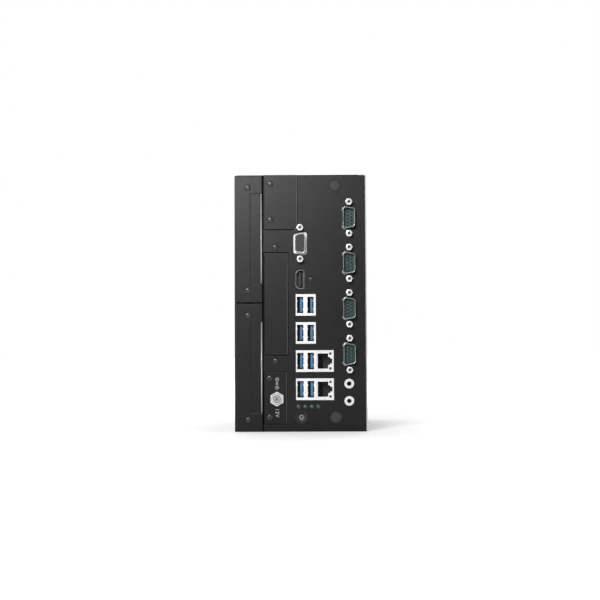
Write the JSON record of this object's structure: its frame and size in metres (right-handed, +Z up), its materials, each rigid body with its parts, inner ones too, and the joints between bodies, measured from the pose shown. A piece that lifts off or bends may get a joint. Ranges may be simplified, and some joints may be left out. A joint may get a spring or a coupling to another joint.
{
  "type": "fanless industrial computer",
  "caption": "Slim upright industrial computer: black sheet-metal housing, finned heatsink on one side, front panel with ports, covers and a power button.",
  "frame": {"origin": "centre of the footprint of the housing's end wall that it stands on", "axes": "+Z up along the long side, -Y towards the port side, +X towards the heatsink"},
  "size_m": [0.1048, 0.1971, 0.2036],
  "materials": {
    "black_coat": "fine satin powder coat",
    "sink_metal": "light anodised",
    "nickel": "nickel plate",
    "screw_black": "black oxide",
    "zinc": "zinc plate",
    "port_steel": "bright tin plate",
    "teal_plastic": "moulded",
    "black_plastic": "moulded",
    "blue_plastic": "moulded",
    "contact_gold": "plated",
    "lamp_plastic": "smoked light guide",
    "plug_rubber": "soft, matt",
    "board_green": "solder mask",
    "chip_black": "moulded",
    "tray_steel": "zinc plate",
    "block_metal": "milled"
  },
  "bodies": {
    "housing": {"chassis_shell": "black_coat", "io_panel": "black_coat", "rear_panel": "black_coat", "heatsink": "sink_metal", "drive_cover_lower": "black_coat", "drive_cover_upper": "black_coat", "option_cover": "black_coat", "slot_cover": "black_coat", "inlet_plate": "black_coat", "bay_shelf": "tray_steel", "drive_cover_screws": "screw_black", "plate_screws": "screw_black", "video_lock_screw": "screw_black", "rear_panel_screws": "screw_black", "heatsink_screws": "zinc", "jackscrews": "nickel", "com_pins": "contact_gold", "vga_shell": "nickel", "vga_insert": "black_plastic", "video_port_shell": "zinc", "video_port_tongue": "black_plastic", "usb_tongues": "blue_plastic", "lan_lamps": "lamp_plastic", "usb_lan_stack_1": "port_steel", "usb_lan_stack_2": "port_steel", "usb_stack_1": "port_steel", "usb_stack_2": "port_steel", "lan_jack_1": "black_plastic", "lan_jack_2": "black_plastic", "audio_jack_1": "nickel", "audio_jack_2": "nickel", "audio_body": "black_plastic", "power_jack": "nickel", "power_jack_nut": "nickel", "status_lamps": "lamp_plastic", "power_bezel": "black_plastic", "power_switch": "black_plastic", "antenna_plug_upper": "plug_rubber", "antenna_plug_lower": "plug_rubber", "mainboard": "board_green", "port_board": "board_green", "board_posts": "zinc", "port_board_posts": "zinc", "processor": "chip_black", "heat_block": "block_metal", "memory_socket": "black_plastic", "memory_module": "board_green", "drive_tray_lower": "tray_steel", "drive_tray_upper": "tray_steel", "drive_lower": "block_metal", "drive_upper": "block_metal", "com_shell_1": "nickel", "com_insert_1": "teal_plastic", "com_shell_2": "nickel", "com_insert_2": "teal_plastic", "com_shell_3": "nickel", "com_insert_3": "teal_plastic", "com_shell_4": "nickel", "com_insert_4": "teal_plastic"},
    "button": {"power_button": "black_plastic"}
  },
  "joints": [
    {"name": "power_press", "type": "slide", "parent": "housing", "child": "button", "axis": [0, 1, 0], "range_m": [0, 0.001], "stiffness_N_per_m": 1200, "springref_m": -0.0005}
  ]
}
